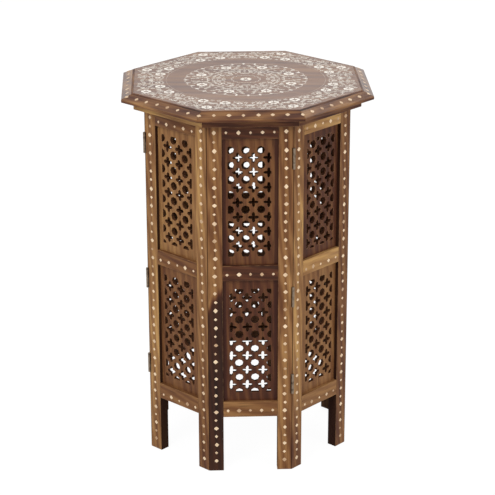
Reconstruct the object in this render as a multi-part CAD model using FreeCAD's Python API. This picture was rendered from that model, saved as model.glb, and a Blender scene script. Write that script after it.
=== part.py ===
import FreeCAD
import Part
import math
import os
from FreeCAD import Vector

# An octagonal folding stool. Eight framed panels with pierced infill stand on a ring of feet, hinged
# turn by turn on their outside and inside edges, so that the base folds like a fan. A bevelled top
# with a frame under it lifts off. Millimetres, +Z up, the origin on the floor at the centre.

# Base: a regular octagon of panels
sides = 8
base_corner_radius = 131.0
panel_thickness = 12.7
panel_height = 438.4
mitre_gap = 0.3

# Stiles and rails
stile_width = 17.6
top_rail_height = 17.4
mid_rail_height = 18.7
mid_rail_bottom = 247.8
bottom_rail_height = 19.7
bottom_rail_bottom = 71.8

# Pierced infill, held in one groove all round
infill_recess = 4.4
infill_thickness = 4.5
groove_depth = 3.0

# Piercing: large squares and diamond crosses in turn
piercing_pitch = 22.0
large_hole_width = 10.0
cross_hole_span = 13.0
piercing_side_margin = 4.0
piercing_end_margin = 11.0

# Hinges: three to a seam
hinge_height = 25.4
low_hinge_middle = 114.5
mid_hinge_middle = 226.5
high_hinge_middle = 397.0
leaf_thickness = 1.1
leaf_width = 7.5
knuckle_radius = 1.7
pin_radius = 0.8
pin_clearance = 0.05
pin_stand_off = 0.5
knuckle_end_gap = 0.15
barrel_clearance = 0.3
barrel_faces = 6
pin_faces = 6

# Top: a field board, a bevelled edging and the frame under them
top_overhang = 12.2
edging_width = 14.1
bevel_drop = 6.5
edge_height = 3.3
under_frame_height = 10.1
under_frame_width = 33.0
top_seat_gap = 0.3

# Pegs that locate the top on the front panel
peg_radius = 2.5
peg_reach = 9.0
peg_seat = 6.0
peg_clearance = 0.25
peg_end_gap = 1.5
peg_faces = 8

# How far a cutting tool runs past what it cuts
overrun = 2.0

half_turn = 180.0
front_angle = -90.0
side_angle = 2 * half_turn / sides
half_side = math.radians(side_angle / 2)
base_inradius = base_corner_radius * math.cos(half_side)
panel_width = 2 * base_corner_radius * math.sin(half_side)
opening_width = panel_width - 2 * stile_width
top_rail_bottom = panel_height - top_rail_height
mid_rail_top = mid_rail_bottom + mid_rail_height
bottom_rail_top = bottom_rail_bottom + bottom_rail_height
under_frame_bottom = panel_height + top_seat_gap
top_bottom = under_frame_bottom + under_frame_height
edge_top = top_bottom + edge_height
top_height = edge_top + bevel_drop
field_corner_radius = (base_inradius + top_overhang) / math.cos(half_side)
edging_corner_radius = field_corner_radius + edging_width / math.cos(half_side)
hinge_middles = (low_hinge_middle, mid_hinge_middle, high_hinge_middle)

# The panels in turn round the base, and the angle of each one's outward normal
panel_names = ("front", "front_right", "right", "back_right", "back", "back_left", "left", "front_left")
panels = {name: front_angle + place * side_angle for place, name in enumerate(panel_names)}

# Each hinged seam: the panel it carries, the panel that carries it, and the edge with the pins
seams = (
    ("front_right", "front", "outside"),
    ("right", "front_right", "inside"),
    ("back_right", "right", "outside"),
    ("back", "back_right", "inside"),
    ("front_left", "front", "inside"),
    ("left", "front_left", "outside"),
    ("back_left", "left", "inside"),
)


def box(x0, x1, y0, y1, z0, z1):
    """A box between two corners, given in any order."""
    low = Vector(min(x0, x1), min(y0, y1), min(z0, z1))
    return Part.makeBox(abs(x1 - x0), abs(y1 - y0), abs(z1 - z0), low)


def polygon_points(radius, faces, z):
    """Corners of a regular polygon that has a flat side facing -Y."""
    first = front_angle - half_turn / faces
    angles = [math.radians(first + 2 * half_turn * i / faces) for i in range(faces)]
    return [Vector(radius * math.cos(a), radius * math.sin(a), z) for a in angles]


def wire(points):
    return Part.makePolygon(points + points[:1])


def polygon_prism(radius, faces, z0, z1):
    """A regular prism, its radius measured to the corners."""
    return Part.Face(wire(polygon_points(radius, faces, z0))).extrude(Vector(0, 0, z1 - z0))


def to_panel(shape, name):
    """Moves a shape from the panel's own frame: X to the right, Y inward from its outer face."""
    shape.translate(Vector(0, -base_inradius, 0))
    shape.rotate(Vector(0, 0, 0), Vector(0, 0, 1), panels[name] - front_angle)
    return shape


def seam_corner(name_a, name_b):
    """The corner angle between two neighbouring panels."""
    a = panels[name_a]
    b = panels[name_b]
    if abs(a - b) > half_turn:
        a -= math.copysign(2 * half_turn, a - b)
    return (a + b) / 2


def to_seam(shape, corner, edge):
    """Moves a shape from a seam's frame: Z is the pin's axis and X runs along the mitre."""
    if edge == "outside":
        pin_distance = (base_inradius + pin_stand_off) / math.cos(half_side)
        turn = corner + half_turn
    else:
        pin_distance = (base_inradius - panel_thickness - pin_stand_off) / math.cos(half_side)
        turn = corner
    shape.rotate(Vector(0, 0, 0), Vector(0, 0, 1), turn)
    angle = math.radians(corner)
    shape.translate(Vector(pin_distance * math.cos(angle), pin_distance * math.sin(angle), 0))
    return shape


def seam_side(name, other, edge):
    """Which side of a seam's XZ plane a panel lies on: +1 or -1."""
    corner = seam_corner(name, other)
    ahead = math.sin(math.radians(panels[name] - corner)) > 0
    return 1 if ahead == (edge == "inside") else -1


def hinge_pocket(side):
    """What one stile loses for the hinges of its seam: leaf pockets and room for the barrels."""
    tools = []
    for middle in hinge_middles:
        low = middle - hinge_height / 2
        high = middle + hinge_height / 2
        reach = knuckle_radius + barrel_clearance + leaf_width
        depth = mitre_gap / 2 + leaf_thickness
        tools.append(box(0, reach, 0, side * depth, low, high))
        room = knuckle_radius + barrel_clearance
        tools.append(box(-room, room, -room, room, low, high))
    return tools


def peg_place():
    """Where a locating peg stands, measured from the panel's centre line and outer face."""
    inner_edge = opening_width / 2 + groove_depth
    mitre_edge = panel_width / 2 - panel_thickness / 2 * math.tan(half_side)
    return (inner_edge + mitre_edge) / 2, panel_thickness / 2


def hinged_seams(name):
    """The seams of a panel, each with its neighbour and the edge that has the pins."""
    found = []
    for child, parent, edge in seams:
        if name == child:
            found.append((parent, edge))
        if name == parent:
            found.append((child, edge))
    return found


def stile(name, hand):
    """A full-height stile with a mitred edge, the infill groove and its hinge pockets."""
    mitre_setback = mitre_gap / 2 / math.cos(half_side)
    outer = panel_width / 2 - mitre_setback
    inner = outer - panel_thickness * math.tan(half_side)
    section = [
        Vector(hand * opening_width / 2, 0, 0),
        Vector(hand * outer, 0, 0),
        Vector(hand * inner, panel_thickness, 0),
        Vector(hand * opening_width / 2, panel_thickness, 0),
    ]
    body = Part.Face(wire(section)).extrude(Vector(0, 0, panel_height))
    groove = box(
        hand * (opening_width / 2 - overrun),
        hand * (opening_width / 2 + groove_depth),
        infill_recess,
        infill_recess + infill_thickness,
        bottom_rail_bottom,
        panel_height + overrun,
    )
    tools = [groove]
    if name == "front":
        x, y = peg_place()
        low = panel_height - peg_reach - peg_end_gap
        hole = polygon_prism(peg_radius + peg_clearance, peg_faces, low, panel_height + overrun)
        hole.translate(Vector(hand * x, y, 0))
        tools.append(hole)
    body = to_panel(body.cut(tools), name)
    for other, edge in hinged_seams(name):
        corner = seam_corner(name, other)
        ahead = math.sin(math.radians(corner - panels[name])) > 0
        if ahead == (hand > 0):
            side = seam_side(name, other, edge)
            body = body.cut([to_seam(tool, corner, edge) for tool in hinge_pocket(side)])
    return body


def rail(name, low, high, groove_below, groove_above):
    """A rail with a stub tenon at each end and an infill groove along one or both edges."""
    half = opening_width / 2
    body = box(-half, half, 0, panel_thickness, low, high)
    back = infill_recess + infill_thickness
    tenon = box(-half - groove_depth, half + groove_depth, infill_recess, back, low, high)
    body = body.fuse(tenon)
    reach = half + groove_depth + overrun
    tools = []
    if groove_below:
        tools.append(box(-reach, reach, infill_recess, back, low - overrun, low + groove_depth))
    if groove_above:
        tools.append(box(-reach, reach, infill_recess, back, high - groove_depth, high + overrun))
    return to_panel(body.cut(tools).removeSplitter(), name)


def rails(name):
    """The three rails of a panel."""
    return Part.makeCompound([
        rail(name, top_rail_bottom, panel_height, True, False),
        rail(name, mid_rail_bottom, mid_rail_top, True, True),
        rail(name, bottom_rail_bottom, bottom_rail_top, False, True),
    ])


def square_hole(x, z):
    half = large_hole_width / 2
    corners = ((-half, -half), (half, -half), (half, half), (-half, half))
    return [Vector(x + dx, 0, z + dz) for dx, dz in corners]


def diamond_hole(x, z):
    half = cross_hole_span / 2
    corners = ((0, -half), (half, 0), (0, half), (-half, 0))
    return [Vector(x + dx, 0, z + dz) for dx, dz in corners]


def evenly(count, middle):
    """Places one pitch apart about a middle."""
    return [middle + (i - (count - 1) / 2) * piercing_pitch for i in range(count)]


def pierced_infill(name, low, high, large_in_wide_columns):
    """A pierced board in its groove, with the large holes in the outer or the inner columns."""
    width = opening_width - 2 * piercing_side_margin
    height = high - low - 2 * piercing_end_margin
    columns = int((width - large_hole_width) / piercing_pitch) + 1
    rows = int((height - large_hole_width) / piercing_pitch) + 1
    middle = (low + high) / 2
    large_columns = columns if large_in_wide_columns else columns - 1
    cross_columns = columns - 1 if large_in_wide_columns else columns
    holes = [square_hole(x, z) for x in evenly(large_columns, 0) for z in evenly(rows, middle)]
    holes += [diamond_hole(x, z) for x in evenly(cross_columns, 0) for z in evenly(rows - 1, middle)]
    half = opening_width / 2 + groove_depth
    bottom = low - groove_depth
    top = high + groove_depth
    outline = [Vector(x, 0, z) for x, z in ((-half, bottom), (half, bottom), (half, top), (-half, top))]
    face = Part.Face([wire(outline)] + [wire(hole) for hole in holes])
    board = face.extrude(Vector(0, infill_thickness, 0))
    board.translate(Vector(0, infill_recess, 0))
    return to_panel(board, name)


def leaf_plate(side, middle):
    """A hinge leaf, flush with the mitred edge that it is let into."""
    start = knuckle_radius + barrel_clearance
    face = side * mitre_gap / 2
    back = side * (mitre_gap / 2 + leaf_thickness)
    low = middle - hinge_height / 2
    high = middle + hinge_height / 2
    return box(start, start + leaf_width, face, back, low, high)


def knuckle(side, low, high):
    """One knuckle with the tab that joins it to its leaf."""
    face = side * mitre_gap / 2
    back = side * (mitre_gap / 2 + leaf_thickness)
    tab = box(0, knuckle_radius + barrel_clearance, face, back, low, high)
    return polygon_prism(knuckle_radius, barrel_faces, low, high).fuse(tab)


def fixed_leaf(side, middle):
    """The leaf with the lower knuckle and the pin that stands in it."""
    low = middle - hinge_height / 2
    high = middle + hinge_height / 2
    pin = polygon_prism(pin_radius, pin_faces, low, high)
    lower = knuckle(side, low, middle - knuckle_end_gap)
    return leaf_plate(side, middle).fuse([lower, pin]).removeSplitter()


def moving_leaf(side, middle):
    """The leaf whose upper knuckle turns on the pin."""
    high = middle + hinge_height / 2
    bore_radius = (pin_radius + pin_clearance) / math.cos(math.pi / pin_faces)
    bore = polygon_prism(bore_radius, pin_faces, middle - overrun, high + overrun)
    body = leaf_plate(side, middle).fuse(knuckle(side, middle, high))
    return body.cut(bore).removeSplitter()


def seam_leaves(child, parent, edge, make_leaf, owner):
    """The three leaves that a seam has on the panel that owns them."""
    corner = seam_corner(child, parent)
    other = parent if owner == child else child
    side = seam_side(owner, other, edge)
    leaves = [to_seam(make_leaf(side, middle), corner, edge) for middle in hinge_middles]
    return Part.makeCompound(leaves)


def top_board():
    """The flat field of the top."""
    return polygon_prism(field_corner_radius, sides, top_bottom, top_height)


def solid_between(near, far):
    """A flat-sided solid between two polygons with as many corners."""
    faces = [Part.Face(wire(near)), Part.Face(wire(far))]
    for i in range(len(near)):
        faces.append(Part.Face(wire([near[i - 1], near[i], far[i], far[i - 1]])))
    solid = Part.Solid(Part.Shell(faces))
    return solid if solid.Volume > 0 else solid.reversed()


def mitred_lengths(section):
    """Eight mitred lengths of one section, given as corner radii and heights."""
    lengths = []
    for angle in panels.values():
        ends = []
        for corner in (angle - side_angle / 2, angle + side_angle / 2):
            turn = math.radians(corner)
            ends.append([Vector(r * math.cos(turn), r * math.sin(turn), z) for r, z in section])
        lengths.append(solid_between(ends[0], ends[1]))
    return lengths


def top_edging():
    """Eight mitred lengths of bevelled edging round the field."""
    section = [
        (field_corner_radius, top_bottom),
        (edging_corner_radius, top_bottom),
        (edging_corner_radius, edge_top),
        (field_corner_radius, top_height),
    ]
    return Part.makeCompound(mitred_lengths(section))


def under_frame():
    """Eight flat lengths under the top, which rest on the panels."""
    inner_corner_radius = field_corner_radius - under_frame_width / math.cos(half_side)
    section = [
        (inner_corner_radius, under_frame_bottom),
        (field_corner_radius, under_frame_bottom),
        (field_corner_radius, top_bottom),
        (inner_corner_radius, top_bottom),
    ]
    lengths = mitred_lengths(section)
    front_place = panel_names.index("front")
    lengths[front_place] = lengths[front_place].cut(locating_pegs())
    return Part.makeCompound(lengths)


def locating_pegs():
    """Two dowels held in the under frame, which drop into the front panel's stiles."""
    x, y = peg_place()
    pegs = []
    for hand in (-1, 1):
        low = under_frame_bottom - peg_reach
        peg = polygon_prism(peg_radius, peg_faces, low, under_frame_bottom + peg_seat)
        peg.translate(Vector(hand * x, y, 0))
        pegs.append(to_panel(peg, "front"))
    return Part.makeCompound(pegs)


def build():
    """Every piece by its name."""
    pieces = {}
    for name in panels:
        pieces[name + "_stile_left"] = stile(name, -1)
        pieces[name + "_stile_right"] = stile(name, 1)
        pieces[name + "_rails"] = rails(name)
        pieces[name + "_upper_jali"] = pierced_infill(name, mid_rail_top, top_rail_bottom, True)
        pieces[name + "_lower_jali"] = pierced_infill(name, bottom_rail_top, mid_rail_bottom, False)
    for child, parent, edge in seams:
        leaves = seam_leaves(child, parent, edge, fixed_leaf, parent)
        pieces[child + "_hinge_fixed_leaves"] = leaves
        leaves = seam_leaves(child, parent, edge, moving_leaf, child)
        pieces[child + "_hinge_moving_leaves"] = leaves
    pieces["top_board"] = top_board()
    pieces["top_edging"] = top_edging()
    pieces["under_frame"] = under_frame()
    pieces["locating_pegs"] = locating_pegs()
    return pieces


os.makedirs("parts", exist_ok=True)
for piece_name, piece in build().items():
    piece.exportStep("parts/" + piece_name + ".step")
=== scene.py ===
import math
import random
import bmesh
import bpy
from mathutils import Matrix, Vector


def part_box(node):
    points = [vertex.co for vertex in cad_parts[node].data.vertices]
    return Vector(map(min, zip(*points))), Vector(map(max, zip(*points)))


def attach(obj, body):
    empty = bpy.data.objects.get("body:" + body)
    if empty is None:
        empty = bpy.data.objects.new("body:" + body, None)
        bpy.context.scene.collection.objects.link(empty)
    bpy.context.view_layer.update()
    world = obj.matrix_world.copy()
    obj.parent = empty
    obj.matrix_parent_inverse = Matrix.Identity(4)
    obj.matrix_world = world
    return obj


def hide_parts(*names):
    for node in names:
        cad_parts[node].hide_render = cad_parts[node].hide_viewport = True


# An octagonal folding stool of figured hardwood with bone inlay: eight framed panels with pierced
# boards, butt hinges at the seams, and a bevelled top that lifts off. Metres, +Z up.

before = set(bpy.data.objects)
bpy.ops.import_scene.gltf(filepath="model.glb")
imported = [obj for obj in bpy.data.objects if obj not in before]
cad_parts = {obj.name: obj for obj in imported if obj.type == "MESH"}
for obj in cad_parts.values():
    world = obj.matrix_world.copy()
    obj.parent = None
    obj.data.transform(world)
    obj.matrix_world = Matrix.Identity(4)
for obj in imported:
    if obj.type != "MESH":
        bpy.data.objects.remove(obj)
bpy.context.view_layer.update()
MM = 0.001
rng = random.Random(71)

# The panels in turn, each with the angle of its outward face
PANELS = {
    "front": -90, "front_right": -45, "right": 0, "back_right": 45,
    "back": 90, "back_left": 135, "left": 180, "front_left": 225,
}
SEAMS = (
    ("front_right", "front", "outside"),
    ("right", "front_right", "inside"),
    ("back_right", "right", "outside"),
    ("back", "back_right", "inside"),
    ("front_left", "front", "inside"),
    ("left", "front_left", "outside"),
    ("back_left", "left", "inside"),
)
SIDE_ANGLE = 45
HALF_ANGLE = SIDE_ANGLE / 2
HALF_SIDE = math.radians(HALF_ANGLE)

# Sizes read from the frame
stile_low, stile_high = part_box("front_stile_left")
jali_low, jali_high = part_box("front_upper_jali")
board_low, board_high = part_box("top_board")
edging_low, edging_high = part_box("top_edging")
under_low, under_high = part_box("under_frame")
BASE_INRADIUS = -stile_low.y
PANEL_THICKNESS = stile_high.y - stile_low.y
OPENING_HALF = -stile_high.x
SIDE_HALF = -stile_low.x
STILE_MIDDLE = (-stile_low.x - stile_high.x) / 2
JALI_RECESS = jali_low.y - stile_low.y
JALI_THICKNESS = jali_high.y - jali_low.y
FIELD_INRADIUS = board_high.y
TOP_HEIGHT = board_high.z
EDGING_INRADIUS = edging_high.y
BEVEL_RUN = EDGING_INRADIUS - FIELD_INRADIUS
# The height of the edging's upright edge, under the bevel
EDGE_HEIGHT = 3.3 * MM
BEVEL_DROP = TOP_HEIGHT - edging_low.z - EDGE_HEIGHT

# Wood tones from heartwood to sapwood, from 0 to 255 as they look
TONES = (
    (0.0, (34, 17, 10)),
    (0.25, (80, 44, 28)),
    (0.5, (118, 78, 46)),
    (0.75, (150, 109, 67)),
    (1.0, (186, 144, 88)),
)


def linear(colour):
    """A colour of the palette, given from 0 to 255, as the shader wants it."""
    parts = [c / 255 for c in colour]
    return tuple(c / 12.92 if c < 0.04045 else ((c + 0.055) / 1.055) ** 2.4 for c in parts) + (1.0,)


# Node building

def add(tree, kind, inputs=None, **settings):
    """A node with its settings; an input is a number, a colour or another node's output."""
    node = tree.nodes.new(kind)
    for key, value in settings.items():
        setattr(node, key, value)
    for key, value in (inputs or {}).items():
        if isinstance(value, bpy.types.NodeSocket):
            tree.links.new(value, node.inputs[key])
        else:
            node.inputs[key].default_value = value
    return node


def calc(tree, operation, first, second=0.0, third=0.0, clamp=False):
    values = {0: first, 1: second, 2: third}
    return add(tree, "ShaderNodeMath", values, operation=operation, use_clamp=clamp).outputs[0]


def scaled(tree, value, factor, base=0.0, clamp=False):
    """A value times a factor, added to a base."""
    return calc(tree, "MULTIPLY_ADD", value, factor, base, clamp)


def swing(tree, value, amount, base=0.0, clamp=False):
    """A base with a value's swing about one half added to it."""
    return scaled(tree, calc(tree, "SUBTRACT", value, 0.5), amount, base, clamp)


def vector_calc(tree, operation, first, second):
    return add(tree, "ShaderNodeVectorMath", {0: first, 1: second}, operation=operation).outputs[0]


def drawn_out(tree, place, share):
    """A place squeezed along the grain, so that what is drawn at it runs long."""
    return vector_calc(tree, "MULTIPLY", place, (1, 1, share))


def mixed(tree, amount, first, second):
    return add(tree, "ShaderNodeMix", {0: amount, 6: first, 7: second}, data_type="RGBA").outputs[2]


def noise(tree, vector, scale, detail=2.0, distortion=0.0, kind="Fac"):
    values = {"Vector": vector, "Scale": scale, "Detail": detail, "Distortion": distortion}
    return add(tree, "ShaderNodeTexNoise", values).outputs[kind]


def ramp(tree, factor, stops):
    node = add(tree, "ShaderNodeValToRGB", {0: factor})
    points = node.color_ramp.elements
    while len(points) < len(stops):
        points.new(0.5)
    for point, (place, colour) in zip(points, stops):
        point.position = place
        point.color = colour
    return node.outputs[0]


def smooth_step(tree, value, low, high):
    values = {0: value, 1: low, 2: high}
    return add(tree, "ShaderNodeMapRange", values, interpolation_type="SMOOTHSTEP").outputs[0]


SOCKETS = {"v": "NodeSocketVector", "f": "NodeSocketFloat", "c": "NodeSocketColor"}


def new_group(name, inputs, outputs):
    """An empty shader group with named inputs and outputs, each with v, f or c for its kind."""
    tree = bpy.data.node_groups.new(name, "ShaderNodeTree")
    for way, sockets in (("INPUT", inputs), ("OUTPUT", outputs)):
        for label, kind in sockets.items():
            tree.interface.new_socket(name=label, in_out=way, socket_type=SOCKETS[kind])
    return tree, tree.nodes.new("NodeGroupInput").outputs, tree.nodes.new("NodeGroupOutput").inputs


def give(tree, result, **values):
    """Links values to a group's outputs of the same names."""
    for label, value in values.items():
        tree.links.new(value, result[label])


# The edge of the heartwood: how it slants, and a shift that sets its level near the stile's middle line
HEART_SLANT = 2.0
HEART_SHIFT = 0.083


def timber_figure():
    """Streaks, growth lines, fibres and pores along the grain, with dark heartwood below a level."""
    tree, given, result = new_group(
        "Timber figure",
        {"Place": "v", "Seed": "f", "Tone": "f", "Heart": "f", "Figure": "f", "Line density": "f"},
        {"Colour": "c", "Roughness": "f", "Height": "f"},
    )
    shift = vector_calc(tree, "MULTIPLY", given["Seed"], (5.31, 2.17, 9.7))
    place = vector_calc(tree, "ADD", given["Place"], shift)
    drawn = drawn_out(tree, place, 0.13)
    sway = vector_calc(tree, "SUBTRACT", noise(tree, drawn, 17.0, kind="Color"), (0.5, 0.5, 0.5))
    bent = vector_calc(tree, "ADD", drawn, vector_calc(tree, "MULTIPLY", sway, (0.02, 0.02, 0)))
    lines = add(tree, "ShaderNodeTexWave", {
        "Vector": bent, "Scale": given["Line density"], "Distortion": 3.5, "Detail": 2.0,
        "Detail Scale": 1.6, "Detail Roughness": 0.6,
    }, wave_type="BANDS", bands_direction="DIAGONAL").outputs["Fac"]
    broad = noise(tree, drawn, 38.0, 3.0, 0.6)
    fibres = noise(tree, drawn_out(tree, place, 0.05), 430.0)
    pores = smooth_step(tree, noise(tree, drawn_out(tree, place, 0.035), 1100.0, 1.0), 0.6, 0.72)
    change = swing(tree, fibres, 0.3, swing(tree, lines, 0.2, swing(tree, broad, 0.95)))
    change = scaled(tree, change, given["Figure"])
    tone = calc(tree, "ADD", given["Tone"], change)
    parts = add(tree, "ShaderNodeSeparateXYZ", {0: given["Place"]}).outputs
    below = calc(tree, "ADD", calc(tree, "SUBTRACT", given["Heart"], parts["Z"]), HEART_SHIFT)
    below = swing(tree, broad, 0.05, scaled(tree, parts["X"], HEART_SLANT, below))
    wanted = calc(tree, "GREATER_THAN", given["Heart"], 0.01)
    heart = scaled(tree, smooth_step(tree, below, -0.008, 0.008), wanted)
    dark = scaled(tree, change, 0.3, 0.08)
    tone = add(tree, "ShaderNodeMix", {0: heart, 2: tone, 3: dark}).outputs[0]
    colour = ramp(tree, tone, [(level, linear(shade)) for level, shade in TONES])
    colour = mixed(tree, scaled(tree, pores, 0.45), colour, linear((40, 26, 20)))
    rough = scaled(tree, pores, 0.12, scaled(tree, fibres, 0.24, 0.36))
    height = scaled(tree, lines, 0.25, scaled(tree, fibres, 0.5))
    height = calc(tree, "SUBTRACT", height, scaled(tree, pores, 0.8))
    give(tree, result, Colour=colour, Roughness=rough, Height=height)
    return tree


def edge_wear():
    """Paler wood where the edges are rubbed, broken up along their length."""
    tree, given, result = new_group(
        "Edge wear",
        {"Colour": "c", "Worn": "f", "Place": "v", "Bare wood": "c", "Amount": "f"},
        {"Colour": "c"},
    )
    patches = smooth_step(tree, noise(tree, given["Place"], 90.0, 3.0), 0.38, 0.62)
    amount = scaled(tree, scaled(tree, patches, given["Worn"]), given["Amount"])
    give(tree, result, Colour=mixed(tree, amount, given["Colour"], given["Bare wood"]))
    return tree


def painted_recess_shade_group():
    """Painted shade in the cuts and along the sides of a recessed board, where shade falls."""
    tree, given, result = new_group(
        "Painted recess shade",
        {"Colour": "c", "Roughness": "f", "Place": "v", "Painted shade mask": "f", "Start": "f", "Painted side shade": "c",
         "Painted mask shade": "c"},
        {"Colour": "c", "Roughness": "f"},
    )
    # Painted shade: darker near the board's sides and on the faces that the mask picks out
    across = add(tree, "ShaderNodeSeparateXYZ", {0: given["Place"]}).outputs["X"]
    waver = noise(tree, given["Place"], 60.0)
    across = scaled(tree, waver, 0.0015, calc(tree, "ABSOLUTE", across))
    past = calc(tree, "SUBTRACT", across, given["Start"])
    side = scaled(tree, smooth_step(tree, past, 0.0, 0.0012), 0.85)
    colour = mixed(tree, side, given["Colour"], given["Painted side shade"])
    colour = mixed(tree, scaled(tree, given["Painted shade mask"], 0.85), colour, given["Painted mask shade"])
    rough = scaled(tree, given["Painted shade mask"], 0.35, given["Roughness"], clamp=True)
    give(tree, result, Colour=colour, Roughness=rough)
    return tree


def bone_figure():
    """Cream bone that is yellowed and worn in places; a low tone is a stained piece."""
    tree, given, result = new_group(
        "Bone figure",
        {"Place": "v", "Tone": "f", "Fresh": "c", "Stained": "c"},
        {"Colour": "c", "Roughness": "f", "Height": "f"},
    )
    amount = swing(tree, noise(tree, given["Place"], 140.0), 0.5, given["Tone"], clamp=True)
    grain = noise(tree, given["Place"], 1500.0, 1.0)
    colour = mixed(tree, amount, given["Stained"], given["Fresh"])
    give(tree, result, Colour=colour, Roughness=scaled(tree, grain, 0.2, 0.3), Height=grain)
    return tree


FIGURE = timber_figure()
WEAR = edge_wear()
PAINTED_RECESS_SHADE = painted_recess_shade_group()
BONE = bone_figure()


def attribute(tree, name, kind="Fac"):
    return add(tree, "ShaderNodeAttribute", attribute_name=name).outputs[kind]


def placed_group(tree, group, inputs):
    return add(tree, "ShaderNodeGroup", inputs, node_tree=group).outputs


def new_material(name):
    material = bpy.data.materials.new(name)
    material.use_nodes = True
    return material, material.node_tree, material.node_tree.nodes["Principled BSDF"]


def dress(tree, shader, colour, rough, relief, constants):
    """Links a surface's colour, roughness and relief to its shader and sets the shader's constants."""
    height, strength, depth = relief
    bump = add(tree, "ShaderNodeBump", {"Strength": strength, "Distance": depth, "Height": height})
    for label, value in (("Base Color", colour), ("Roughness", rough), ("Normal", bump.outputs[0])):
        tree.links.new(value, shader.inputs[label])
    for label, value in constants.items():
        shader.inputs[label].default_value = value


def timber(name, figure=1.0, line_density=70.0, worn=0.6, rubbed=(176, 136, 92), painted_shade_start=None,
           painted_cut_shade=(40, 17, 8), specular=0.16, coat=0.0, coat_roughness=0.15, coat_ior=1.5):
    """An oiled or lacquered wood, read from the grain attributes of the piece that wears it."""
    material, tree, shader = new_material(name)
    place = attribute(tree, "place", "Vector")
    given = {label: attribute(tree, label.lower()) for label in ("Seed", "Tone", "Heart")}
    given.update({"Place": place, "Figure": figure, "Line density": line_density})
    wood = placed_group(tree, FIGURE, given)
    colour = placed_group(tree, WEAR, {
        "Colour": wood["Colour"], "Worn": attribute(tree, "worn"), "Place": place,
        "Bare wood": linear(rubbed), "Amount": worn,
    })["Colour"]
    rough = wood["Roughness"]
    # Painted shade along the sides of a recessed board and on the masked faces
    if painted_shade_start is not None:
        stained = placed_group(tree, PAINTED_RECESS_SHADE, {
            "Colour": colour, "Roughness": rough, "Place": place, "Painted shade mask": attribute(tree, "cut"),
            "Start": painted_shade_start, "Painted side shade": linear((62, 30, 22)), "Painted mask shade": linear(painted_cut_shade),
        })
        colour, rough = stained["Colour"], stained["Roughness"]
    dress(tree, shader, colour, rough, (wood["Height"], 0.25, 0.0002), {
        "Specular IOR Level": specular, "Coat Weight": coat, "Coat Roughness": coat_roughness,
        "Coat IOR": coat_ior,
    })
    return material


def bone(name, fresh, stained, coat=0.0):
    """Bone whose pieces each have a tone, and whose figure runs on from piece to piece."""
    material, tree, shader = new_material(name)
    spot = add(tree, "ShaderNodeTexCoord").outputs["Object"]
    made = placed_group(tree, BONE, {
        "Place": spot, "Tone": attribute(tree, "tone"), "Fresh": linear(fresh), "Stained": linear(stained),
    })
    dress(tree, shader, made["Colour"], made["Roughness"], (made["Height"], 0.15, 0.0001), {
        "Specular IOR Level": 0.35, "Coat Weight": coat, "Coat Roughness": 0.15,
    })
    return material


def steel(name):
    """Plain steel with fine rolling marks and some tarnish."""
    material, tree, shader = new_material(name)
    spot = add(tree, "ShaderNodeTexCoord").outputs["Object"]
    marks = noise(tree, drawn_out(tree, spot, 0.05), 2500.0, 1.0)
    tarnish = smooth_step(tree, noise(tree, spot, 220.0, 3.0), 0.45, 0.75)
    colour = mixed(tree, tarnish, linear((136, 120, 103)), linear((64, 49, 38)))
    rough = scaled(tree, marks, 0.2, scaled(tree, tarnish, 0.25, 0.25))
    dress(tree, shader, colour, rough, (marks, 0.1, 0.0001), {"Metallic": 1.0})
    return material


# A board's sides carry painted shade from this far out, in metres; no member reaches the plain value
PAINTED_SHADE_START_PLAIN = 1.0
PAINTED_SHADE_START_FRONT = 0.0283

STILE_WOOD = timber("stile_timber", figure=1.0, worn=0.55, painted_shade_start=PAINTED_SHADE_START_PLAIN)
RAIL_WOOD = timber("rail_timber", figure=0.8, worn=0.5, painted_shade_start=PAINTED_SHADE_START_PLAIN)
JALI_WOOD = timber(
    "jali_timber", figure=0.65, worn=0.7, rubbed=(168, 126, 92), painted_shade_start=PAINTED_SHADE_START_PLAIN,
    painted_cut_shade=(84, 50, 32))
FRONT_JALI_WOOD = timber(
    "front_jali_timber", figure=0.65, worn=0.35, rubbed=(150, 108, 70), painted_shade_start=PAINTED_SHADE_START_FRONT,
    painted_cut_shade=(48, 26, 18))
EDGING_WOOD = timber(
    "edging_timber", figure=1.3, line_density=60.0, worn=0.25, specular=0.05, coat=0.85,
    coat_roughness=0.2, coat_ior=1.25)
UNDER_WOOD = timber("under_frame_timber", figure=1.1, worn=0.4)
TOP_WOOD = timber("top_timber", figure=0.55, line_density=30.0, worn=0.0, coat=0.2, coat_roughness=0.2)
PANEL_BONE = bone("panel_bone", (238, 212, 178), (164, 124, 86))
TOP_BONE = bone("top_bone", (238, 231, 219), (142, 114, 90), coat=0.15)
HINGE_STEEL = steel("hinge_steel")


# Mesh building

def polar(radius, degrees):
    angle = math.radians(degrees)
    return radius * math.cos(angle), radius * math.sin(angle)


def facing(degrees):
    """The turn that brings what faces the front to face another direction."""
    return Matrix.Rotation(math.radians(degrees + 90), 4, "Z")


def to_panel(name):
    """From a panel's own frame, X to the right and Y inward from its outer face, to the stool's."""
    return facing(PANELS[name]) @ Matrix.Translation((0, -BASE_INRADIUS, 0))


def ring(bm, spots, place):
    """Vertices at spots that are given in millimetres in the frame of place."""
    return [bm.verts.new(place @ (Vector(spot) * MM)) for spot in spots]


def face_outward(bm):
    bmesh.ops.recalc_face_normals(bm, faces=bm.faces)


def loft(bm, rings):
    """A solid through rings of vertices, closed at both ends."""
    bm.faces.new(rings[0][::-1])
    bm.faces.new(rings[-1])
    for near, far in zip(rings, rings[1:]):
        for i in range(len(near)):
            bm.faces.new((near[i - 1], near[i], far[i], far[i - 1]))


def timber_skin():
    """An empty mesh that can say how the grain runs, which faces are worn and which carry painted shade."""
    bm = bmesh.new()
    add_grain_layers(bm)
    return bm


def add_grain_layers(bm):
    bm.verts.layers.float_vector.new("place")
    for label in ("seed", "tone", "heart"):
        bm.verts.layers.float.new(label)
    for label in ("worn", "cut"):
        bm.faces.layers.float.new(label)


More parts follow.
